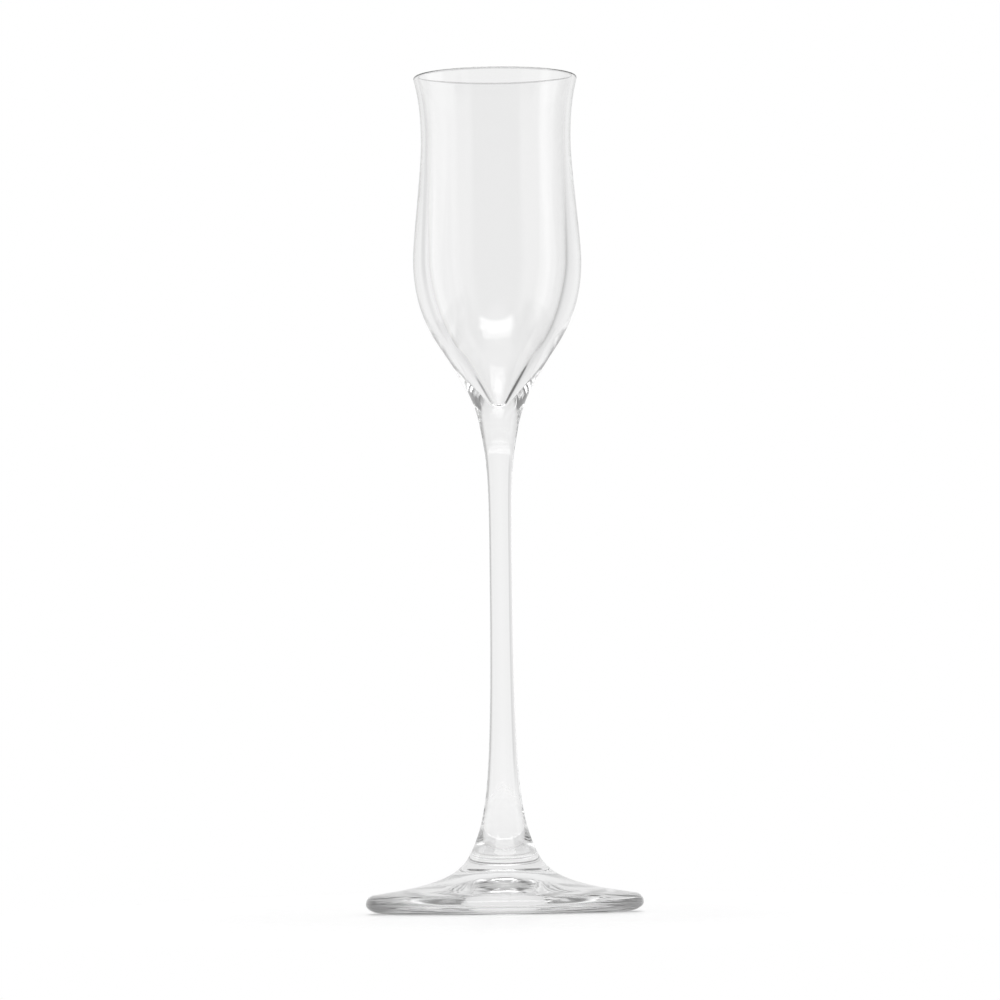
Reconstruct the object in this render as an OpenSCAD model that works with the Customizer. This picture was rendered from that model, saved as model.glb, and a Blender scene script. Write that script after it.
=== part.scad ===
// Spirits glass with a tulip bowl, a long drawn stem and a spun foot.
// Lengths are in millimetres and angles in degrees. The glass stands on z = 0 and its axis is the Z axis.
// Every piece is a turned solid. Two pieces that are welded share the curve of their weld,
// so they meet face to face and no glass is counted twice.

/* [Bowl outside] */
// Height from the weld on the stem up to the lip
bowl_h = 89; // [86:0.5:98]
// Diameter across the lip
lip_d = 39.2; // [37.5:0.1:44]
// Angle that the lip leans out from upright
lip_flare = 13; // [4:1:24]
// Diameter at the waist below the lip
waist_d = 35.9; // [33:0.1:38]
// Drop from the lip to the waist
waist_drop = 15.5; // [11:0.5:20]
// Diameter at the belly
belly_d = 40.3; // [38.5:0.1:46]
// Drop from the lip to the belly
belly_drop = 44.5; // [38:0.5:50]
// Diameter where the lower wall slopes most
taper_d = 26; // [20:0.1:30]
// Drop from the lip to that slope
taper_drop = 66.5; // [60:0.5:70]
// Angle of that slope from upright
taper_angle = 34; // [26:1:42]

/* [Bowl inside] */
// Thickness of the round, fire-polished lip
lip_t = 1.1; // [0.8:0.05:1.6]
// Wall at the waist
waist_t = 1.5; // [1:0.05:2.5]
// Wall at the belly
belly_t = 3.7; // [2:0.1:5]
// Wall at the steepest slope, measured level
taper_t = 4.3; // [2.5:0.1:5]
// Angle of the hollow's wall from upright at that height
hollow_angle = 38; // [32:1:42]
// Angle of the hollow's wall from upright just above its round bottom
funnel_angle = 28; // [22:1:34]
// Radius of that round bottom
tip_r = 1.7; // [1.2:0.1:2.4]
// Drop from the lip to the bottom of the hollow
hollow_drop = 79; // [76:0.5:82]

/* [Stem] */
// Length between the two welds
stem_l = 96; // [60:1:130]
// Diameter at the thinnest place
stem_d = 5.4; // [4.4:0.1:7]
// Height of the thinnest place above the lower weld
thin_h = 65; // [45:1:75]
// Diameter at the weld under the bowl
neck_d = 7.5; // [6.4:0.1:9]
// Angle of the stem's side from upright at that weld
neck_angle = 10; // [5:1:16]
// Diameter at the weld on the foot
base_d = 15.2; // [12:0.1:19]
// Angle of the stem's side from upright at that weld
base_angle = 24; // [18:1:34]

/* [Foot] */
// Diameter of the foot
foot_d = 66.2; // [58:0.1:76]
// Height of the weld above the table
foot_h = 15; // [11:0.5:20]
// Thickness of the rounded edge
edge_t = 4.5; // [3.2:0.1:6]
// Height of the widest line of the edge above the table
edge_mid = 2.2; // [1.4:0.1:2.8]
// Width of the rounding on top of the edge
edge_round = 2.1; // [1.2:0.1:3]
// Fall of the foot's top where it reaches the edge, from level
edge_fall = 8; // [3:1:14]
// Outer diameter of the flat ring that the glass stands on
ring_d = 57; // [48:0.5:57.5]
// Width of that ring
ring_w = 6; // [3:0.5:9]
// Height of the hollow under the middle of the foot
kick_h = 4; // [2:0.1:5.5]

/* [Welds] */
// Rise of the stem's domed top into the bowl
neck_weld_rise = 1.2; // [0.5:0.1:2]
// Depth of the stem's domed bottom in the foot
base_weld_rise = 1.6; // [0.6:0.1:3]

/* [Hidden] */
$fn = 96;

// Straight pieces in a long curve, a short one and a weld
curve_steps = 14;
round_steps = 8;
weld_steps = 6;

// Heights of the two welds and the lip above the table
base_z = foot_h;
neck_z = base_z + stem_l;
lip_z = neck_z + bowl_h;

// How far the two ends of a curve keep their direction, as shares of the straight distance between them
LIP_PULL = [0.2, 0.56];
WAIST_PULL = [0.26, 0.2];
BELLY_PULL = [0.51, 0.2];
TAPER_PULL = [0.55, 0.34];
HOLLOW_BELLY_PULL = [0.15, 0.44];
HOLLOW_TIP_PULL = [0.32, 0.4];
NECK_PULL = [0.22, 0.47];
BASE_PULL = [0.75, 0.14];
FOOT_PULL = [0.23, 0.68];
EDGE_PULL = [0.36, 0.4];
KICK_PULL = [0.45, 0.3];

// A direction in the outline, turned outwards from straight down
function heading(angle) = [sin(angle), -cos(angle)];

function cubic(a, b, c, d, t) =
    a * pow(1 - t, 3) + 3 * b * t * pow(1 - t, 2) + 3 * c * t * t * (1 - t) + d * pow(t, 3);

// A smooth curve that leaves p in one heading and arrives at q in another. Its first point is left out,
// because the curve before it ends there.
function sweep(p, angle_p, q, angle_q, pull, steps) =
    let (
        reach = norm(q - p),
        b = p + pull[0] * reach * heading(angle_p),
        c = q - pull[1] * reach * heading(angle_q)
    )
    [for (i = [1:steps]) cubic(p, b, c, q, i / steps)];

// An elliptical arc round a centre, between two angles from level, without its first point
function arc(centre, half_w, half_h, from, to, steps) =
    [for (i = [1:steps])
        let (a = from + (to - from) * i / steps)
        centre + [half_w * cos(a), half_h * sin(a)]];

// The face of a weld: a shallow dome from its edge to the axis, without the edge
function dome(edge, rise) =
    let (ball_r = (edge[0] * edge[0] + rise * rise) / (2 * abs(rise)))
    [for (i = [1:weld_steps])
        let (r = edge[0] * (1 - i / weld_steps))
        [r, edge[1] + sign(rise) * (sqrt(ball_r * ball_r - r * r) - ball_r + abs(rise))]];

function reversed(points) = [for (i = [len(points) - 1:-1:0]) points[i]];

// Edges of the two welds, each shared by the pieces that meet there
neck_edge = [neck_d / 2, neck_z];
base_edge = [base_d / 2, base_z];

// Bowl outside, from the lip down to the weld
lip_centre = [lip_d / 2 - lip_t / 2, lip_z - lip_t / 2];
lip_out = lip_centre + lip_t / 2 * [cos(lip_flare), -sin(lip_flare)];
waist_out = [waist_d / 2, lip_z - waist_drop];
belly_out = [belly_d / 2, lip_z - belly_drop];
taper_out = [taper_d / 2, lip_z - taper_drop];
bowl_outside = concat(
    [lip_out],
    sweep(lip_out, -lip_flare, waist_out, 0, LIP_PULL, curve_steps),
    sweep(waist_out, 0, belly_out, 0, WAIST_PULL, curve_steps),
    sweep(belly_out, 0, taper_out, -taper_angle, BELLY_PULL, curve_steps),
    sweep(taper_out, -taper_angle, neck_edge, -neck_angle, TAPER_PULL, curve_steps)
);

// Bowl inside, from the lip down to the bottom of the hollow
lip_in = lip_centre - lip_t / 2 * [cos(lip_flare), -sin(lip_flare)];
waist_in = waist_out - [waist_t, 0];
belly_in = belly_out - [belly_t, 0];
taper_in = taper_out - [taper_t, 0];
tip_centre = [0, lip_z - hollow_drop + tip_r];
funnel_end = tip_centre + tip_r * [cos(funnel_angle), -sin(funnel_angle)];
bowl_inside = concat(
    [lip_in],
    sweep(lip_in, -lip_flare, waist_in, 0, LIP_PULL, curve_steps),
    sweep(waist_in, 0, belly_in, 0, WAIST_PULL, curve_steps),
    sweep(belly_in, 0, taper_in, -hollow_angle, HOLLOW_BELLY_PULL, curve_steps),
    sweep(taper_in, -hollow_angle, funnel_end, -funnel_angle, HOLLOW_TIP_PULL, curve_steps),
    arc(tip_centre, tip_r, tip_r, -funnel_angle, -90, round_steps)
);

// Round of the lip, from the inside over the top to the outside
lip_round = arc(lip_centre, lip_t / 2, lip_t / 2, 180 - lip_flare, -lip_flare, round_steps);

// Side of the stem, from the bowl down to the foot
thin_side = [stem_d / 2, base_z + thin_h];
stem_side = concat(
    [neck_edge],
    sweep(neck_edge, -neck_angle, thin_side, 0, NECK_PULL, curve_steps),
    sweep(thin_side, 0, base_edge, base_angle, BASE_PULL, curve_steps)
);

// Foot, from the weld over its top and edge to the standing ring and the hollow underneath
foot_shoulder = [foot_d / 2 - edge_round, edge_t];
foot_widest = [foot_d / 2, edge_mid];
ring_out = [ring_d / 2, 0];
ring_in = [ring_d / 2 - ring_w, 0];
kick_top = [0, kick_h];
foot_top = concat(
    [base_edge],
    sweep(base_edge, base_angle, foot_shoulder, 90 - edge_fall, FOOT_PULL, curve_steps),
    sweep(foot_shoulder, 90 - edge_fall, foot_widest, 0, EDGE_PULL, round_steps)
);
foot_bottom = concat(
    arc([ring_d / 2, edge_mid], foot_d / 2 - ring_d / 2, edge_mid, 0, -90, round_steps),
    [ring_in],
    sweep(ring_in, -90, kick_top, -90, KICK_PULL, curve_steps)
);

module bowl() {
    color("aliceblue", 0.4)
    rotate_extrude()
    polygon(concat(
        bowl_outside,
        dome(neck_edge, neck_weld_rise),
        reversed(bowl_inside),
        [for (i = [0:round_steps - 2]) lip_round[i]]
    ));
}

module stem() {
    color("lightcyan", 0.4)
    rotate_extrude()
    polygon(concat(
        stem_side,
        dome(base_edge, -base_weld_rise),
        reversed(dome(neck_edge, neck_weld_rise))
    ));
}

module foot() {
    color("azure", 0.4)
    rotate_extrude()
    polygon(concat(
        foot_top,
        foot_bottom,
        reversed(dome(base_edge, -base_weld_rise))
    ));
}

bowl();
stem();
foot();
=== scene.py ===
"""Spirits glass: three turned pieces of clear glass on a pale floor, in soft studio light."""

import logging
import math
from dataclasses import dataclass
from enum import Enum

import bpy
from mathutils import Matrix


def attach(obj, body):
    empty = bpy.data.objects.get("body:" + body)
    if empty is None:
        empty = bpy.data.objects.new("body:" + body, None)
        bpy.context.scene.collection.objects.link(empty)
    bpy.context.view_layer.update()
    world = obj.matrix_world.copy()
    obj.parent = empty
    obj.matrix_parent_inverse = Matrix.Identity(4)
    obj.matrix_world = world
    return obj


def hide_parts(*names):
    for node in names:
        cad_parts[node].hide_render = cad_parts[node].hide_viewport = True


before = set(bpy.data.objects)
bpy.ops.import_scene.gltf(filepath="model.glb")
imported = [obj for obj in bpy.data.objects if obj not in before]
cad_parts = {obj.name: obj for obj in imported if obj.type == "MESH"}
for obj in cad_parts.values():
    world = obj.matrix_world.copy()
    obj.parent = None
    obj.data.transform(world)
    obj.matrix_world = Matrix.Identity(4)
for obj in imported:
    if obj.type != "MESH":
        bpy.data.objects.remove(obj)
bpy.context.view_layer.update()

LOG = logging.getLogger("spirits_glass")
MM = 0.001
BODY = "root"

# A weld's faces lie within this share of its radius, and within this many millimetres of its dome's height
WELD_SHARE = 0.99
WELD_SLACK = 0.01

# Bounces after which light that passes the thick foot's surface starts to fade, and after which none is
# left: painted shade on light that has bounced often
FOOT_PATH = (6.0, 10.0)
# Height of the waves that spinning leaves on the foot, in metres
SPUN_WAVES = 0.0000005

# A point of an outline: its distance from the axis and its height, in millimetres
Point = tuple[float, float]
# How far the two ends of a curve keep their direction, as shares of the straight distance between them
Pull = tuple[float, float]
# An angle in degrees and the brightness there
Stop = tuple[float, float]
Socket = bpy.types.NodeSocket
# What goes into a node: another node's socket, a number, or a colour or vector
Feed = bpy.types.NodeSocket | float | tuple[float, ...]


def moved(point: Point, angle: float, reach: float) -> Point:
    """Steps from a point of an outline.

    Args:
        point: Where the step starts.
        angle: Direction of the step in degrees, turned outwards from straight down.
        reach: Length of the step.

    Returns:
        Where the step ends.
    """
    turned = math.radians(angle)
    return (point[0] + reach * math.sin(turned), point[1] - reach * math.cos(turned))


def sweep(
    start: Point,
    start_angle: float,
    end: Point,
    end_angle: float,
    pull: Pull,
    steps: int,
) -> list[Point]:
    """Draws a smooth curve that leaves one point in a direction and arrives at another in one.

    Args:
        start: Where the curve before this one ends.
        start_angle: Direction at the start, turned outwards from straight down.
        end: Where this curve ends.
        end_angle: Direction at the end.
        pull: How far each end keeps its direction.
        steps: Number of points.

    Returns:
        The points after the start.
    """
    distance = math.dist(start, end)
    start_handle = moved(start, start_angle, pull[0] * distance)
    end_handle = moved(end, end_angle, -pull[1] * distance)
    corners = (start, start_handle, end_handle, end)
    points = []
    for step in range(1, steps + 1):
        done = step / steps
        left = 1 - done
        weights = (left**3, 3 * done * left**2, 3 * done * done * left, done**3)
        across = sum(weight * corner[0] for weight, corner in zip(weights, corners))
        up = sum(weight * corner[1] for weight, corner in zip(weights, corners))
        points.append((across, up))
    return points


def arc(centre: Point, half: Point, first: float, last: float, steps: int) -> list[Point]:
    """Draws part of an ellipse.

    Args:
        centre: Middle of the ellipse.
        half: Its half width and half height.
        first: Angle from level where the arc starts, in degrees.
        last: Angle where it ends.
        steps: Number of points.

    Returns:
        The points after the first.
    """
    points = []
    for step in range(1, steps + 1):
        turned = math.radians(first + (last - first) * step / steps)
        across = centre[0] + half[0] * math.cos(turned)
        up = centre[1] + half[1] * math.sin(turned)
        points.append((across, up))
    return points


def dome(edge: Point, rise: float, steps: int) -> list[Point]:
    """Draws the face of a weld, a shallow dome from its edge to the axis.

    Args:
        edge: Edge of the weld.
        rise: Height of the dome, below zero where it hangs down.
        steps: Number of points.

    Returns:
        The points after the edge, of which the last is on the axis.
    """
    ball = (edge[0] ** 2 + rise**2) / (2 * abs(rise))
    points = []
    for step in range(1, steps + 1):
        across = edge[0] * (1 - step / steps)
        lift = math.sqrt(ball**2 - across**2) - ball + abs(rise)
        points.append((across, edge[1] + math.copysign(lift, rise)))
    return points


def grey(level: float) -> tuple[float, float, float, float]:
    """Gives the opaque grey of a brightness."""
    return (level, level, level, 1.0)


class Slope(Enum):
    """How a level goes over into another."""

    STRAIGHT = "LINEAR"
    SOFT = "SMOOTHSTEP"


class Place(Enum):
    """The kinds of surface that a piece of glass has."""

    OUTSIDE = "outside"
    WELD = "weld"
    HOLLOW = "hollow"
    EDGE = "edge"


class Ripple(Enum):
    """How the surface waves, by how the hot glass was worked: how close its waves are along X, Y and Z."""

    BLOWN = (1.0, 1.0, 0.35)
    DRAWN = (2.0, 2.0, 0.2)
    SPUN = (0.8, 0.8, 0.8)
    CHILLED = (1.0, 1.0, 1.0)


@dataclass(frozen=True)
class Wiring:
    """Adds nodes to a material or to the world, and links them.

    Attributes:
        tree: The node tree that they go into.
    """

    tree: bpy.types.NodeTree

    def feed(self, entry: Socket, value: Feed) -> None:
        """Fills an input of a node.

        Args:
            entry: The input.
            value: The socket that is linked to it, or the value that it keeps.
        """
        if isinstance(value, Socket):
            self.tree.links.new(value, entry)
        else:
            entry.default_value = value

    def add(self, kind: str, inputs: dict[str | int, Feed], operation: str = "") -> bpy.types.Node:
        """Adds a node.

        Args:
            kind: Its type, without the word ShaderNode in front.
            inputs: What goes into its inputs, by name, or by number where names repeat.
            operation: What it works out, where it has a choice.

        Returns:
            The node.
        """
        node = self.tree.nodes.new("ShaderNode" + kind)
        if operation:
            node.operation = operation
        for name, value in inputs.items():
            self.feed(node.inputs[name], value)
        return node

    def number(self, operation: str, *values: Socket | float) -> Socket:
        """Works out a number.

        Args:
            operation: What is worked out.
            values: Numbers or sockets that go in.

        Returns:
            The socket of the result.
        """
        return self.add("Math", dict(enumerate(values)), operation).outputs["Value"]

    def length(self, vector: Socket) -> Socket:
        """Measures a vector's length."""
        return self.add("VectorMath", {0: vector}, "LENGTH").outputs["Value"]

    def along(self, look: Socket, axis: tuple[float, float, float]) -> Socket:
        """Measures a direction along an axis."""
        return self.add("VectorMath", {0: look, 1: axis}, "DOT_PRODUCT").outputs["Value"]

    def mix(self, first: Socket | float, second: Socket | float, share: Socket) -> Socket:
        """Goes from one level to another by a share from 0 to 1."""
        return self.add("Mix", {"Factor": share, "A": first, "B": second}).outputs["Result"]

    def ranged(
        self,
        value: Socket,
        span: tuple[float, float],
        levels: tuple[float, float],
        slope: Slope,
    ) -> Socket:
        """Goes from one level to another while a value passes through a span.

        Args:
            value: Socket of the value.
            span: Where the value leaves the first level, and where it reaches the second.
            levels: The two levels.
            slope: How the one goes over into the other.

        Returns:
            The socket of the level.
        """
        inputs = {
            "Value": value,
            "From Min": span[0],
            "From Max": span[1],
            "To Min": levels[0],
            "To Max": levels[1],
        }
        node = self.add("MapRange", inputs)
        node.interpolation_type = slope.value
        return node.outputs["Result"]

    def curve(self, value: Socket, stops: tuple[Stop, ...]) -> Socket:
        """Follows a soft curve through some stops.

        Args:
            value: Socket of what is measured.
            stops: The stops, in rising order.

        Returns:
            The socket of the level.
        """
        low, high = stops[0][0], stops[-1][0]
        ramp = self.add("ValToRGB", {"Fac": self.ranged(value, (low, high), (0.0, 1.0), Slope.STRAIGHT)})
        ramp.color_ramp.interpolation = "EASE"
        while len(ramp.color_ramp.elements) < len(stops):
            ramp.color_ramp.elements.new(0.5)
        for element, (at, level) in zip(ramp.color_ramp.elements, stops):
            element.position = (at - low) / (high - low)
            element.color = grey(level)
        return ramp.outputs["Color"]

    def sum_of(self, first: Socket, second: Socket) -> Socket:
        """Adds the light of two shaders."""
        return self.add("AddShader", {0: first, 1: second}).outputs["Shader"]

    def blend(self, first: Socket, second: Socket, share: Socket) -> Socket:
        """Goes from one shader to another by a share from 0 to 1."""
        return self.add("MixShader", {"Fac": share, 1: first, 2: second}).outputs["Shader"]


@dataclass(frozen=True)
class GlassFinish:
    """Clear fire-polished glass, with painted shade where it is seen at a flat angle, which stands in for
    the dark outlines that glass shows there.

    Attributes:
        name: Name of the material.
        ripple: How the surface waves.
        face_tint_and_painted_shade: Share of the light that is left after two surfaces that face the eye:
            the glass's faint grey, and where it is set low, painted shade.
        edge_painted_shade: Share that is left after two surfaces that turn away, a painted shade for the
            dark outlines at a flat angle.
        edge_from: Share of the light that the surface mirrors where it starts to darken.
        edge_at: Share that it mirrors where the full edge shade is reached.
        wave_height: Height of the waves, in metres.
        wave_scale: Number of waves in a metre.
        wave_detail: Finer waves on top of them.
        swirl: How much the waves are stirred.
        ior: Refractive index.
        path: Bounces after which light that leaves the glass starts to fade, and after which none is left:
        painted shade that darkens thick glass where light has bounced often.
    """

    name: str
    ripple: Ripple
    face_tint_and_painted_shade: float = 0.98
    edge_painted_shade: float = 0.9
    edge_from: float = 0.04
    edge_at: float = 0.75
    wave_height: float = 0.000004
    wave_scale: float = 60.0
    wave_detail: float = 1.0
    swirl: float = 0.0
    ior: float = 1.5
    path: tuple[float, float] | None = None

    def material(self) -> bpy.types.Material:
        """Makes the material.

        Returns:
            The finished material.
        """
        material = bpy.data.materials.new(self.name)
        material.use_nodes = True
        wiring = Wiring(material.node_tree)
        colour = self.tint(wiring)
        if self.path:
            colour = self.faded(wiring, colour)
        height = {"Strength": 1.0, "Distance": self.wave_height, "Height": self.waves(wiring)}
        glass = material.node_tree.nodes["Principled BSDF"]
        inputs = {
            "Transmission Weight": 1.0,
            "IOR": self.ior,
            "Roughness": 0.0,
            "Base Color": colour,
            "Normal": wiring.add("Bump", height).outputs["Normal"],
        }
        for name, value in inputs.items():
            wiring.feed(glass.inputs[name], value)
        return material

    def tint(self, wiring: Wiring) -> Socket:
        """Colours the glass by how much its surface mirrors, with painted shade where it mirrors much, as at
        a flat angle.

        Args:
            wiring: Nodes of the material.

        Returns:
            The socket of the colour.
        """
        # Painted shade: the more the surface mirrors, as at a flat angle, the darker the glass is coloured
        mirrored = wiring.add("Fresnel", {"IOR": self.ior}).outputs["Fac"]
        tint = wiring.add("ValToRGB", {"Fac": mirrored})
        stops = ((self.edge_from, self.face_tint_and_painted_shade), (self.edge_at, self.edge_painted_shade))
        for element, (at, share) in zip(tint.color_ramp.elements, stops):
            element.position = at
            element.color = grey(share)
        return tint.outputs["Color"]

    def faded(self, wiring: Wiring, colour: Socket) -> Socket:
        """Paints shade into the glass for light that has bounced often.

        Args:
            wiring: Nodes of the material.
            colour: Socket of the glass's colour.

        Returns:
            The socket of the darkened colour.
        """
        bounces = wiring.add("LightPath", {}).outputs["Ray Depth"]
        left = wiring.ranged(bounces, self.path, (1.0, 0.0), Slope.STRAIGHT)
        return wiring.add("VectorMath", {"Vector": colour, "Scale": left}, "SCALE").outputs["Vector"]

    def waves(self, wiring: Wiring) -> Socket:
        """Adds the height of the surface's waves.

        Args:
            wiring: Nodes of the material.

        Returns:
            The socket of the height.
        """
        place = wiring.add("TexCoord", {}).outputs["Object"]
        stretched = wiring.add("Mapping", {"Vector": place, "Scale": self.ripple.value})
        inputs = {
            "Vector": stretched.outputs["Vector"],
            "Scale": self.wave_scale,
            "Detail": self.wave_detail,
            "Distortion": self.swirl,
        }
        return wiring.add("TexNoise", inputs).outputs["Fac"]


@dataclass(frozen=True)
class WeldFinish:
    """The seam inside a hot weld, which lets nearly all light pass straight through.

    Attributes:
        name: Name of the material.
        passes: Share of the light that passes.
    """

    name: str
    passes: float = 0.985

    def material(self) -> bpy.types.Material:
        """Makes the material.

        Returns:
            The finished material.
        """
        material = bpy.data.materials.new(self.name)
        material.use_nodes = True
        tree = material.node_tree
        tree.nodes.remove(tree.nodes["Principled BSDF"])
        wiring = Wiring(tree)
        seam = wiring.add("BsdfTransparent", {"Color": grey(self.passes)})
        wiring.feed(tree.nodes["Material Output"].inputs["Surface"], seam.outputs["BSDF"])
        return material


@dataclass
class Welds:
    """The two hot welds, whose curves are shared by the pieces that meet there.

    Attributes:
        neck_d: Diameter of the weld under the bowl.
        neck_z: Height of its edge above the table.
        neck_rise: Rise of the stem's domed top.
        base_d: Diameter of the weld on the foot.
        base_z: Height of its edge above the table.
        base_rise: Depth of the stem's domed bottom.
        steps: Points in each dome.
    """

    neck_d: float = 7.5
    neck_z: float = 111.0
    neck_rise: float = 1.2
    base_d: float = 15.2
    base_z: float = 15.0
    base_rise: float = 1.6
    steps: int = 8

    @property
    def neck_edge(self) -> Point:
        """Edge of the weld under the bowl."""
        return (self.neck_d / 2, self.neck_z)

    @property
    def base_edge(self) -> Point:
        """Edge of the weld on the foot."""
        return (self.base_d / 2, self.base_z)

    def neck_dome(self) -> list[Point]:
        """Draws the face of the weld under the bowl, from its edge to the axis."""
        return dome(self.neck_edge, self.neck_rise, self.steps)

    def base_dome(self) -> list[Point]:
        """Draws the face of the weld on the foot, from its edge to the axis."""
        return dome(self.base_edge, -self.base_rise, self.steps)


class TurnedPiece:
    """A piece of glass that is turned about the Z axis."""

    node: str = ""
    slot: str = ""
    turns: int = 256
    merge_distance: float = 1e-6
    sharp_angle: float = 40.0

    def outline(self) -> list[Point]:
        """Draws the piece's outline, from the axis round to the axis again."""
        raise NotImplementedError

    def finishes(self) -> dict[Place, GlassFinish | WeldFinish]:
        """Gives the finish of every kind of surface that the piece has."""
        raise NotImplementedError

    def is_weld(self, across: float, up: float) -> bool:
        """Tells whether a face at this distance from the axis and height is part of a weld."""
        raise NotImplementedError

    def is_edge(self, across: float, up: float) -> bool:
        """Tells whether a face at this distance from the axis and height is part of the piece's edge."""
        return False

    def place(self, face: bpy.types.MeshPolygon) -> Place:
        """Tells which kind of surface a face belongs to.

        Args:
            face: A face of the piece.

        Returns:
            The kind of surface.
        """
        across = math.hypot(face.center.x, face.center.y) / MM
        up = face.center.z / MM
        if self.is_weld(across, up):
            return Place.WELD
        if self.is_edge(across, up):
            return Place.EDGE
        if face.normal.x * face.center.x + face.normal.y * face.center.y < 0:
            return Place.HOLLOW
        return Place.OUTSIDE

    def build(self) -> bpy.types.Object:
        """Draws the outline point by point and spins it into a closed solid.

        Returns:
            The piece's object, at the origin.
        """
        outline = self.outline()
        bpy.ops.object.select_all(action="DESELECT")
        bpy.ops.mesh.primitive_plane_add(size=MM, location=(0.0, 0.0, 0.0))
        piece = bpy.context.object
        piece.name = "glass_" + self.node
        piece.data.name = piece.name
        bpy.ops.object.mode_set(mode="EDIT")
        bpy.ops.mesh.select_all(action="SELECT")
        bpy.ops.mesh.merge(type="CENTER")
        bpy.ops.transform.translate(value=(outline[0][0] * MM, 0.0, outline[0][1] * MM))
        for here, there in zip(outline, outline[1:]):
            step = ((there[0] - here[0]) * MM, 0.0, (there[1] - here[1]) * MM)
            bpy.ops.mesh.extrude_vertices_move(TRANSFORM_OT_translate={"value": step})
        bpy.ops.mesh.select_all(action="SELECT")
        bpy.ops.mesh.spin(
            steps=self.turns,
            angle=2 * math.pi,
            center=(0.0, 0.0, 0.0),
            axis=(0.0, 0.0, 1.0),
        )
        bpy.ops.mesh.select_all(action="SELECT")
        bpy.ops.mesh.remove_doubles(threshold=self.merge_distance)
        bpy.ops.mesh.normals_make_consistent(inside=False)
        bpy.ops.object.mode_set(mode="OBJECT")
        bpy.ops.object.shade_smooth_by_angle(angle=math.radians(self.sharp_angle))
        return piece

    def dress(self, piece: bpy.types.Object) -> None:
        """Gives each kind of surface its finish and hands the piece to its body.

        Args:
            piece: The piece's object.
        """
        finishes = self.finishes()
        places = list(finishes)
        for finish in finishes.values():
            piece.data.materials.append(finish.material())
        for face in piece.data.polygons:
            face.material_index = places.index(self.place(face))
        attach(piece, BODY)
        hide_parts(self.node)
        LOG.info("%s: %d faces", piece.name, len(piece.data.polygons))


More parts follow.
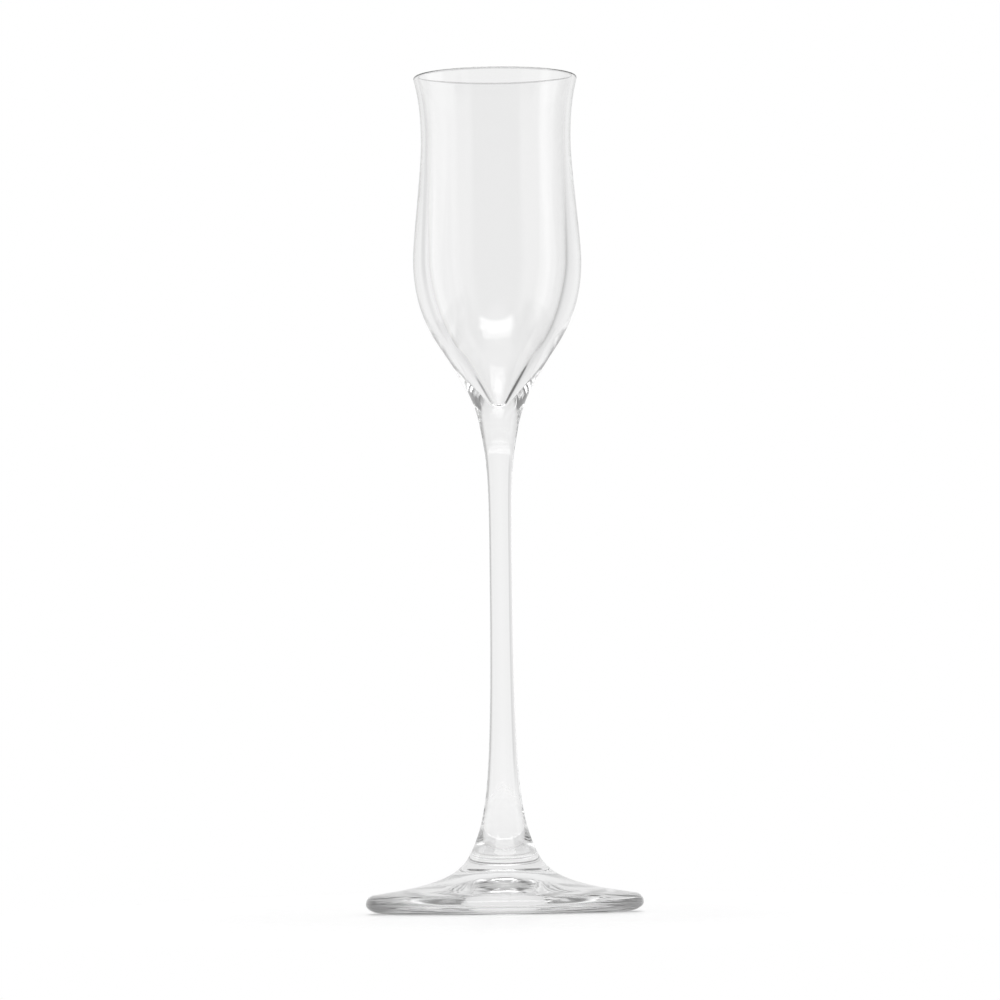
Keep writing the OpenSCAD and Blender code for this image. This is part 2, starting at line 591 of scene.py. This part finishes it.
@dataclass
class Bowl(TurnedPiece):
    """The blown bowl: flared lip, waist, belly and a tapered wall that ends in a solid point.

    Attributes:
        welds: The welds, for the edge on the stem.
        lip_z: Height of the lip above the table.
        lip_d: Diameter across the lip.
        lip_flare: Angle that the lip leans out.
        lip_t: Thickness of the round lip.
        waist_d: Diameter at the waist.
        waist_drop: Drop from the lip to the waist.
        waist_t: Wall at the waist.
        belly_d: Diameter at the belly.
        belly_drop: Drop from the lip to the belly.
        belly_t: Wall at the belly.
        taper_d: Diameter where the lower wall slopes most.
        taper_drop: Drop from the lip to that slope.
        taper_angle: Angle of that slope from upright.
        taper_t: Wall at that slope, measured level.
        hollow_angle: Angle of the hollow's wall at that height.
        funnel_angle: Angle of the hollow's wall just above its round bottom.
        tip_r: Radius of that round bottom.
        hollow_drop: Drop from the lip to the bottom of the hollow.
        neck_angle: Angle of the wall from upright at the weld.
        lip_pull: Pull of the curve from the lip to the waist.
        waist_pull: Pull of the curve from the waist to the belly.
        belly_pull: Pull of the outside's curve from the belly to the steepest slope.
        taper_pull: Pull of the outside's curve from there to the weld.
        hollow_belly_pull: Pull of the hollow's curve from the belly to the steepest slope.
        hollow_tip_pull: Pull of the hollow's curve from there to its round bottom.
        curve_steps: Points in each long curve.
        lip_steps: Points round the lip.
        tip_steps: Points round the bottom of the hollow.
    """

    welds: Welds
    lip_z: float = 200.0
    lip_d: float = 39.2
    lip_flare: float = 13.0
    lip_t: float = 1.1
    waist_d: float = 35.9
    waist_drop: float = 15.5
    waist_t: float = 1.5
    belly_d: float = 40.3
    belly_drop: float = 44.5
    belly_t: float = 3.7
    taper_d: float = 26.0
    taper_drop: float = 66.5
    taper_angle: float = 34.0
    taper_t: float = 4.3
    hollow_angle: float = 38.0
    funnel_angle: float = 28.0
    tip_r: float = 1.7
    hollow_drop: float = 79.0
    neck_angle: float = 10.0
    lip_pull: Pull = (0.2, 0.56)
    waist_pull: Pull = (0.26, 0.2)
    belly_pull: Pull = (0.51, 0.2)
    taper_pull: Pull = (0.55, 0.34)
    hollow_belly_pull: Pull = (0.15, 0.44)
    hollow_tip_pull: Pull = (0.32, 0.4)
    curve_steps: int = 30
    lip_steps: int = 16
    tip_steps: int = 16

    node = "bowl"
    slot = "bowl_glass"

    @property
    def lip_centre(self) -> Point:
        """Middle of the round of the lip."""
        return (self.lip_d / 2 - self.lip_t / 2, self.lip_z - self.lip_t / 2)

    def outside(self) -> list[Point]:
        """Draws the bowl's outside.

        Returns:
            The points from the lip down to the weld.
        """
        lip = moved(self.lip_centre, 90 - self.lip_flare, self.lip_t / 2)
        waist = (self.waist_d / 2, self.lip_z - self.waist_drop)
        belly = (self.belly_d / 2, self.lip_z - self.belly_drop)
        taper = (self.taper_d / 2, self.lip_z - self.taper_drop)
        neck = self.welds.neck_edge
        steps = self.curve_steps
        return [
            lip,
            *sweep(lip, -self.lip_flare, waist, 0, self.lip_pull, steps),
            *sweep(waist, 0, belly, 0, self.waist_pull, steps),
            *sweep(belly, 0, taper, -self.taper_angle, self.belly_pull, steps),
            *sweep(taper, -self.taper_angle, neck, -self.neck_angle, self.taper_pull, steps),
        ]

    def inside(self) -> list[Point]:
        """Draws the bowl's inside.

        Returns:
            The points from the lip down to the bottom of the hollow.
        """
        lip = moved(self.lip_centre, -90 - self.lip_flare, self.lip_t / 2)
        waist = (self.waist_d / 2 - self.waist_t, self.lip_z - self.waist_drop)
        belly = (self.belly_d / 2 - self.belly_t, self.lip_z - self.belly_drop)
        taper = (self.taper_d / 2 - self.taper_t, self.lip_z - self.taper_drop)
        tip = (0.0, self.lip_z - self.hollow_drop + self.tip_r)
        funnel = moved(tip, 90 - self.funnel_angle, self.tip_r)
        steps = self.curve_steps
        return [
            lip,
            *sweep(lip, -self.lip_flare, waist, 0, self.lip_pull, steps),
            *sweep(waist, 0, belly, 0, self.waist_pull, steps),
            *sweep(belly, 0, taper, -self.hollow_angle, self.hollow_belly_pull, steps),
            *sweep(taper, -self.hollow_angle, funnel, -self.funnel_angle, self.hollow_tip_pull, steps),
            *arc(tip, (self.tip_r, self.tip_r), -self.funnel_angle, -90, self.tip_steps),
        ]

    def outline(self) -> list[Point]:
        """Draws the whole outline.

        Returns:
            The points from the middle of the weld over the lip to the hollow's bottom.
        """
        half = (self.lip_t / 2, self.lip_t / 2)
        lip_round = arc(self.lip_centre, half, -self.lip_flare, 180 - self.lip_flare, self.lip_steps)
        return [
            *reversed(self.welds.neck_dome()),
            *reversed(self.outside()),
            *lip_round[:-1],
            *self.inside(),
        ]

    def finishes(self) -> dict[Place, GlassFinish | WeldFinish]:
        """Gives the bowl's finishes.

        Returns:
            The finish of every kind of surface.
        """
        blown = Ripple.BLOWN
        return {
            # The outside and the hollow carry painted shade at a flat angle; the lip is painted darker all
            # over, a painted dark line round the rim
            Place.OUTSIDE: GlassFinish("blown_glass", blown, edge_painted_shade=0.55, edge_from=0.2, edge_at=0.5),
            Place.WELD: WeldFinish("bowl_weld"),
            Place.HOLLOW: GlassFinish("blown_glass_inside", blown, edge_painted_shade=0.85, edge_from=0.2),
            Place.EDGE: GlassFinish("lip_painted_shade", blown, face_tint_and_painted_shade=0.72, edge_painted_shade=0.3, edge_at=0.5),
        }

    def is_weld(self, across: float, up: float) -> bool:
        """Tells whether a face is part of the weld on the stem."""
        top = self.welds.neck_z + self.welds.neck_rise
        return across < self.welds.neck_d / 2 * WELD_SHARE and up < top + WELD_SLACK

    def is_edge(self, across: float, up: float) -> bool:
        """Tells whether a face is part of the round lip."""
        return up > self.lip_z - self.lip_t / 2


@dataclass
class Stem(TurnedPiece):
    """The drawn stem, thinnest above its middle and flared at both ends.

    Attributes:
        welds: The welds at its two ends.
        thin_d: Diameter at the thinnest place.
        thin_z: Height of that place above the table.
        neck_angle: Angle of the side from upright at the upper weld.
        base_angle: Angle of the side from upright at the lower weld.
        neck_pull: Pull of the curve from the upper weld to the thinnest place.
        base_pull: Pull of the curve from there to the lower weld.
        curve_steps: Points in each long curve.
    """

    welds: Welds
    thin_d: float = 5.4
    thin_z: float = 80.0
    neck_angle: float = 10.0
    base_angle: float = 24.0
    neck_pull: Pull = (0.22, 0.47)
    base_pull: Pull = (0.75, 0.14)
    curve_steps: int = 48

    node = "stem"
    slot = "stem_glass"

    def outline(self) -> list[Point]:
        """Draws the whole outline.

        Returns:
            The points from the top of the upper dome to the bottom of the lower one.
        """
        neck = self.welds.neck_edge
        base = self.welds.base_edge
        thin = (self.thin_d / 2, self.thin_z)
        return [
            *reversed(self.welds.neck_dome()),
            neck,
            *sweep(neck, -self.neck_angle, thin, 0, self.neck_pull, self.curve_steps),
            *sweep(thin, 0, base, self.base_angle, self.base_pull, self.curve_steps),
            *self.welds.base_dome(),
        ]

    def finishes(self) -> dict[Place, GlassFinish | WeldFinish]:
        """Gives the stem's finishes.

        Returns:
            The finish of every kind of surface.
        """
        return {
            Place.OUTSIDE: GlassFinish("drawn_glass", Ripple.DRAWN, face_tint_and_painted_shade=1.0),
            Place.WELD: WeldFinish("stem_weld"),
        }

    def is_weld(self, across: float, up: float) -> bool:
        """Tells whether a face is part of one of the two welds."""
        return up > self.welds.neck_z or up < self.welds.base_z


@dataclass
class Foot(TurnedPiece):
    """The spun foot: trumpet-shaped top, rounded edge, standing ring and a shallow hollow.

    Attributes:
        welds: The welds, for the edge under the stem.
        foot_d: Diameter of the foot.
        edge_t: Thickness of the rounded edge.
        edge_mid: Height of the widest line of the edge.
        edge_round: Width of the rounding on top of the edge.
        edge_fall: Fall of the top where it reaches the edge, from level.
        ring_d: Outer diameter of the standing ring.
        ring_w: Width of that ring.
        kick_h: Height of the hollow under the middle.
        base_angle: Angle of the top from upright at the weld.
        top_pull: Pull of the curve from the weld to the edge.
        edge_pull: Pull of the curve over the edge's rounding.
        kick_pull: Pull of the curve from the ring to the middle of the hollow.
        curve_steps: Points in each long curve.
        round_steps: Points in each short curve.
    """

    welds: Welds
    foot_d: float = 66.2
    edge_t: float = 4.5
    edge_mid: float = 2.2
    edge_round: float = 2.1
    edge_fall: float = 8.0
    ring_d: float = 57.0
    ring_w: float = 6.0
    kick_h: float = 4.0
    base_angle: float = 24.0
    top_pull: Pull = (0.23, 0.68)
    edge_pull: Pull = (0.36, 0.4)
    kick_pull: Pull = (0.45, 0.3)
    curve_steps: int = 44
    round_steps: int = 16

    node = "foot"
    slot = "foot_glass"

    def outline(self) -> list[Point]:
        """Draws the whole outline.

        Returns:
            The points from the middle of the weld round to the hollow underneath.
        """
        base = self.welds.base_edge
        shoulder = (self.foot_d / 2 - self.edge_round, self.edge_t)
        widest = (self.foot_d / 2, self.edge_mid)
        ring_in = (self.ring_d / 2 - self.ring_w, 0.0)
        kick_top = (0.0, self.kick_h)
        fall = 90 - self.edge_fall
        under = (self.foot_d / 2 - self.ring_d / 2, self.edge_mid)
        return [
            *reversed(self.welds.base_dome()),
            base,
            *sweep(base, self.base_angle, shoulder, fall, self.top_pull, self.curve_steps),
            *sweep(shoulder, fall, widest, 0, self.edge_pull, self.round_steps),
            *arc((self.ring_d / 2, self.edge_mid), under, 0, -90, self.round_steps),
            ring_in,
            *sweep(ring_in, -90, kick_top, -90, self.kick_pull, self.curve_steps),
        ]

    def finishes(self) -> dict[Place, GlassFinish | WeldFinish]:
        """Gives the foot's finishes.

        Returns:
            The finish of every kind of surface.
        """
        return {
            Place.OUTSIDE: GlassFinish(
                "spun_glass", Ripple.SPUN, edge_painted_shade=0.65, wave_height=SPUN_WAVES, path=FOOT_PATH
            ),
            Place.WELD: WeldFinish("foot_weld"),
            Place.HOLLOW: GlassFinish(
                "chilled_glass",
                Ripple.CHILLED,
                wave_height=0.00006,
                wave_scale=90.0,
                swirl=2.0,
                path=FOOT_PATH,
            ),
            # Painted shade: the rounded edge is painted darker, standing in for the shade under the foot's
            # curled edge
            Place.EDGE: GlassFinish(
                "foot_edge_painted_shade",
                Ripple.SPUN,
                face_tint_and_painted_shade=0.86,
                edge_painted_shade=0.5,
                edge_from=0.08,
                edge_at=0.6,
                wave_height=SPUN_WAVES,
                path=FOOT_PATH,
            ),
        }

    def is_weld(self, across: float, up: float) -> bool:
        """Tells whether a face is part of the weld under the stem."""
        bottom = self.welds.base_z - self.welds.base_rise
        return across < self.welds.base_d / 2 * WELD_SHARE and up > bottom - WELD_SLACK

    def is_edge(self, across: float, up: float) -> bool:
        """Tells whether a face is on the rounded edge."""
        return across > self.ring_d / 2 and up < self.edge_t


@dataclass
class PaleFloor:
    """The pale table top, long and narrow, which fades into the white background away from the glass.

    Attributes:
        reach: Half of its width and of its length, in metres.
        solid: Share of that up to which it is solid.
        sides: Corners of its outline.
        drop: Depth under the standing ring.
        matte: Brightness of its matte colour.
        glow: What the camera sees on top of that, so that it matches the white background.
        glow_in_front: Share of that which shows through the glass in front of it, lower than behind, a
            painted shade.
        glow_behind: Share of that which shows through the glass behind it.
        turn: Distance before and behind the axis within which one share passes into the other, in metres.
        painted_light_pool: Painted light on the table under the foot, seen through the glass, which stands
            in for light that the glass gathers.
        pool_behind: Distance of the painted light's middle behind the axis, in metres.
        pool_r: Radius within which that painted light is full, and that where it ends, in metres.
        painted_glow_when_steep: Painted light that shows through the glass where the table is seen steeply.
        steep: Turn away from the table's face up to which that is full, and that where it ends.
        sheen: Roughness of the soft gloss that shows at a flat angle.
        sheen_glow: What shows on top of the gloss, so that it matches the white background.
        ior: Refractive index of the glossy coat.
    """

    reach: tuple[float, float] = (0.13, 0.4)
    solid: float = 0.35
    sides: int = 96
    drop: float = 0.00002
    matte: float = 0.72
    glow: float = 0.28
    glow_in_front: float = 0.0
    glow_behind: float = 0.6
    turn: float = 0.04
    painted_light_pool: float = 0.34
    pool_behind: float = 0.004
    pool_r: tuple[float, float] = (0.011, 0.022)
    painted_glow_when_steep: float = 0.5
    steep: tuple[float, float] = (0.3, 0.55)
    sheen: float = 0.35
    sheen_glow: float = 0.24
    ior: float = 1.45

    def build(self) -> bpy.types.Object:
        """Makes the floor.

        Returns:
            The floor's object.
        """
        bpy.ops.object.select_all(action="DESELECT")
        bpy.ops.mesh.primitive_circle_add(
            vertices=self.sides, radius=1.0, fill_type="NGON", location=(0.0, 0.0, -self.drop)
        )
        floor = bpy.context.object
        floor.name = "pale_floor"
        floor.scale = (self.reach[0], self.reach[1], 1.0)
        floor.data.materials.append(self.material())
        return floor

    def material(self) -> bpy.types.Material:
        """Makes the matte surface with its soft gloss, which fades out with distance.

        Returns:
            The finished material.
        """
        material = bpy.data.materials.new("pale_table_top")
        material.use_nodes = True
        tree = material.node_tree
        tree.nodes.remove(tree.nodes["Principled BSDF"])
        wiring = Wiring(tree)
        place = wiring.add("TexCoord", {}).outputs["Object"]
        matte = wiring.add("BsdfDiffuse", {"Color": grey(self.matte)}).outputs["BSDF"]
        glow = wiring.add("Emission", {"Strength": self.glow_level(wiring, place)}).outputs["Emission"]
        gloss = wiring.add("BsdfGlossy", {"Roughness": self.sheen}).outputs["BSDF"]
        shine = wiring.add("Emission", {"Strength": self.sheen_glow}).outputs["Emission"]
        mirrored = wiring.add("Fresnel", {"IOR": self.ior}).outputs["Fac"]
        coated = wiring.blend(wiring.sum_of(matte, glow), wiring.sum_of(gloss, shine), mirrored)
        fade = wiring.ranged(wiring.length(place), (self.solid, 1.0), (0.0, 1.0), Slope.SOFT)
        clear = wiring.add("BsdfTransparent", {}).outputs["BSDF"]
        wiring.feed(tree.nodes["Material Output"].inputs["Surface"], wiring.blend(coated, clear, fade))
        return material

    def glow_level(self, wiring: Wiring, place: Socket) -> Socket:
        """Brightness that the camera sees on top of the matte surface, straight or through the glass;
        through the glass it is painted darker in front than behind, a painted shade, with painted light
        under the foot.

        Args:
            wiring: Nodes of the material.
            place: Socket of the place on the floor.

        Returns:
            The socket of the brightness.
        """
        # Through the glass the table's glow is painted darker in front than behind: painted shade
        north = wiring.add("SeparateXYZ", {"Vector": place}).outputs["Y"]
        turn = self.turn / self.reach[1]
        share = wiring.ranged(north, (-turn, turn), (self.glow_in_front, self.glow_behind), Slope.SOFT)
        path = wiring.add("LightPath", {}).outputs
        through_glass = path["Is Transmission Ray"]
        seen = wiring.number("MULTIPLY_ADD", through_glass, share, path["Is Camera Ray"])
        to_white = wiring.number("MULTIPLY", seen, self.glow)
        return wiring.number("MULTIPLY_ADD", through_glass, self.painted_light_under_glass(wiring, place), to_white)

    def painted_light_under_glass(self, wiring: Wiring, place: Socket) -> Socket:
        """Painted light on the table under the glass: a soft patch under the foot, and a glow where the
        table is seen steeply.

        Args:
            wiring: Nodes of the material.
            place: Socket of the place on the floor.

        Returns:
            The socket of the brightness.
        """
        # Painted light: a soft patch of glow under the foot, and a glow for steep views, seen through the
        # glass only
        to_metres = {0: place, 1: (self.reach[0], self.reach[1], 0.0), 2: (0.0, -self.pool_behind, 0.0)}
        from_pool = wiring.add("VectorMath", to_metres, "MULTIPLY_ADD").outputs["Vector"]
        painted_light_pool = wiring.ranged(wiring.length(from_pool), self.pool_r, (self.painted_light_pool, 0.0), Slope.SOFT)
        facing = wiring.add("LayerWeight", {}).outputs["Facing"]
        above = wiring.ranged(facing, self.steep, (self.painted_glow_when_steep, 0.0), Slope.SOFT)
        return wiring.number("MAXIMUM", painted_light_pool, above)


@dataclass(frozen=True)
class Panel:
    """A flat panel of the studio's tent that faces the glass: a soft lamp, or a darker part.

    Attributes:
        middle: Its direction, as degrees to the right of straight behind the glass and above level.
        half: Half of its width and height, in degrees.
        soft: Width of its soft edge, as a share of its distance.
        level: Its brightness.
    """

    middle: tuple[float, float]
    half: tuple[float, float]
    soft: float
    level: float

    def cover(self, wiring: Wiring, look: Socket) -> Socket:
        """Tells how much of the panel covers a direction.

        Args:
            wiring: Nodes of the world.
            look: Socket of the direction.

        Returns:
            The socket of the share, from 0 to 1.
        """
        turn = math.radians(self.middle[0])
        rise = math.radians(self.middle[1])
        ahead = (math.sin(turn) * math.cos(rise), math.cos(turn) * math.cos(rise), math.sin(rise))
        right = (math.cos(turn), -math.sin(turn), 0.0)
        upward = (-math.sin(turn) * math.sin(rise), -math.cos(turn) * math.sin(rise), math.cos(rise))
        depth = wiring.along(look, ahead)
        wide = self.band(wiring, wiring.number("DIVIDE", wiring.along(look, right), depth), self.half[0])
        tall = self.band(wiring, wiring.number("DIVIDE", wiring.along(look, upward), depth), self.half[1])
        in_front = wiring.number("GREATER_THAN", depth, 0.0)
        return wiring.number("MULTIPLY", in_front, wiring.number("MULTIPLY", wide, tall))

    def band(self, wiring: Wiring, away: Socket, half: float) -> Socket:
        """Is 1 inside the panel and falls smoothly to 0 at two of its edges.

        Args:
            wiring: Nodes of the world.
            away: Socket of the offset from the panel's middle, as a share of its distance.
            half: Half of the panel's size, in degrees.

        Returns:
            The socket of the result.
        """
        edge = math.tan(math.radians(half))
        span = (edge - self.soft / 2, edge + self.soft / 2)
        return wiring.ranged(wiring.number("ABSOLUTE", away), span, (1.0, 0.0), Slope.SOFT)


@dataclass(frozen=True)
class StudioLight:
    """White background and a bright tent round the glass, which the glass bends and mirrors.

    Attributes:
        surround: Brightness of the tent against the angle to the right of straight behind the glass.
        ceiling: Share of that brightness against the height above level.
        panels: The tent's panels, each over those before it.
        from_behind: How much stronger the light on the floor is from behind the glass than from the side.
        through: Share of the light that reaches the floor through the glass.
        scattered: Matte bounces above which light counts as coming from the floor.
    """

    surround: tuple[Stop, ...] = (
        (-180, 0.6),
        (-120, 0.75),
        (-75, 0.9),
        (-52, 0.88),
        (-30, 0.92),
        (0, 0.97),
        (30, 0.92),
        (42, 0.85),
        (54, 0.55),
        (64, 0.6),
        (80, 0.8),
        (120, 0.75),
        (180, 0.6),
    )
    ceiling: tuple[Stop, ...] = (
        (-90, 0.35),
        (-60, 0.45),
        (-42, 0.75),
        (-30, 0.88),
        (-12, 0.97),
        (60, 0.92),
        (70, 0.85),
        (79, 0.3),
        (90, 0.2),
    )
    panels: tuple[Panel, ...] = (
        # The darker room round the camera
        Panel(middle=(180, 0), half=(39, 40), soft=0.06, level=0.42),
        # A dull strip behind the glass, to its left
        Panel(middle=(-38, 3), half=(6, 9), soft=0.12, level=0.72),
        # Dark strips below the glass at its two sides
        Panel(middle=(-90, -28), half=(34, 5), soft=0.05, level=0.2),
        Panel(middle=(90, -33), half=(34, 6), soft=0.05, level=0.15),
        # Tall soft lamps at its two sides
        Panel(middle=(-81, 10), half=(17, 35), soft=0.08, level=1.35),
        Panel(middle=(100, 10), half=(9, 35), soft=0.06, level=1.25),
        # The darker ceiling over the camera
        Panel(middle=(180, 66), half=(55, 24), soft=0.2, level=0.3),
        # A dark cloth above the left lamp
        Panel(middle=(-95, 50), half=(22, 12), soft=0.1, level=0.1),
        # The strong lamp over the camera, which shows as a crescent low in the bowl
        Panel(middle=(176, 51), half=(30, 9), soft=0.06, level=3.0),
    )
    from_behind: float = 0.95
    through: float = 0.36
    scattered: float = 0.5

    def build(self) -> bpy.types.World:
        """Makes the world.

        Returns:
            The finished world.
        """
        world = bpy.data.worlds.new("soft_studio")
        bpy.context.scene.world = world
        world.use_nodes = True
        world.node_tree.nodes.clear()
        wiring = Wiring(world.node_tree)
        look = wiring.add("TexCoord", {}).outputs["Generated"]
        axes = wiring.add("SeparateXYZ", {"Vector": look}).outputs
        path = wiring.add("LightPath", {}).outputs
        mirrored = wiring.number("MULTIPLY", path["Is Glossy Ray"], path["Is Reflection Ray"])
        in_glass = wiring.number("MAXIMUM", mirrored, path["Is Transmission Ray"])
        on_floor = wiring.number("MULTIPLY_ADD", axes["Y"], self.from_behind, 1.0)
        from_floor = wiring.number("GREATER_THAN", path["Diffuse Depth"], self.scattered)
        passed = wiring.mix(1.0, self.through, from_floor)
        tent = wiring.number("MULTIPLY", self.tent(wiring, look, axes), passed)
        level = wiring.mix(on_floor, tent, in_glass)
        level = wiring.mix(level, 1.0, path["Is Camera Ray"])
        background = wiring.add("Background", {"Color": grey(1.0), "Strength": level})
        wiring.add("OutputWorld", {"Surface": background.outputs["Background"]})
        return world

    def tent(self, wiring: Wiring, look: Socket, axes: bpy.types.NodeOutputs) -> Socket:
        """Brightness of the tent that is seen through the glass and mirrored on it.

        Args:
            wiring: Nodes of the world.
            look: Socket of the ray's direction.
            axes: Sockets of that direction along X, Y and Z.

        Returns:
            The socket of the brightness.
        """
        turn = wiring.number("DEGREES", wiring.number("ARCTAN2", axes["X"], axes["Y"]))
        height = wiring.number("DEGREES", wiring.number("ARCSINE", axes["Z"]))
        around = wiring.curve(turn, self.surround)
        level = wiring.number("MULTIPLY", around, wiring.curve(height, self.ceiling))
        for panel in self.panels:
            level = wiring.mix(level, panel.level, panel.cover(wiring, look))
        return level


@dataclass
class PhotoCamera:
    """The camera where the photograph was taken: far away, a little above the foot, looking slightly up.

    Attributes:
        away: Distance in front of the axis, in metres.
        eye: Height above the table.
        focal_px: Focal length, in pixels of the picture.
        horizon_px: Row of the picture at the camera's own height.
        picture_px: Width and height of the picture.
        lean: Roll of the camera, in degrees.
        sensor: Width of the sensor, in millimetres.
        sight: Distance up to which it sees, in metres.
    """

    away: float = 1.431
    eye: float = 0.0234
    focal_px: float = 6000.0
    horizon_px: float = 814.0
    picture_px: float = 1000.0
    lean: float = -0.685
    sensor: float = 36.0
    sight: float = 100.0

    def build(self) -> bpy.types.Object:
        """Makes the camera and gives it to the scene.

        Returns:
            The camera's object.
        """
        lens = bpy.data.cameras.new("photo_camera")
        lens.sensor_width = self.sensor
        lens.lens = self.sensor * self.focal_px / self.picture_px
        lens.clip_end = self.sight
        camera = bpy.data.objects.new("photo_camera", lens)
        bpy.context.scene.collection.objects.link(camera)
        pitch = math.atan((self.horizon_px - self.picture_px / 2) / self.focal_px)
        camera.matrix_world = (
            Matrix.Translation((0.0, -self.away, self.eye))
            @ Matrix.Rotation(math.radians(90) + pitch, 4, "X")
            @ Matrix.Rotation(math.radians(self.lean), 4, "Z")
        )
        bpy.context.scene.camera = camera
        return camera


def set_light_paths(scene: bpy.types.Scene, bounces: int = 32) -> None:
    """Lets light bend often enough for solid glass, and keeps the tones plain.

    Args:
        scene: The scene.
        bounces: Most times that a ray is bent or mirrored.
    """
    scene.cycles.max_bounces = bounces
    scene.cycles.transmission_bounces = bounces
    scene.cycles.glossy_bounces = bounces
    scene.cycles.transparent_max_bounces = bounces
    scene.cycles.blur_glossy = 0.0
    scene.cycles.use_denoising = True
    scene.view_settings.view_transform = "Standard"


def main() -> None:
    """Builds the glass piece by piece, then its floor, light and camera."""
    logging.basicConfig(level=logging.INFO, format="%(message)s")
    welds = Welds()
    for part in (Bowl(welds), Stem(welds), Foot(welds)):
        part.dress(part.build())
    PaleFloor().build()
    StudioLight().build()
    PhotoCamera().build()
    set_light_paths(bpy.context.scene)


if __name__ == "__main__":
    main()
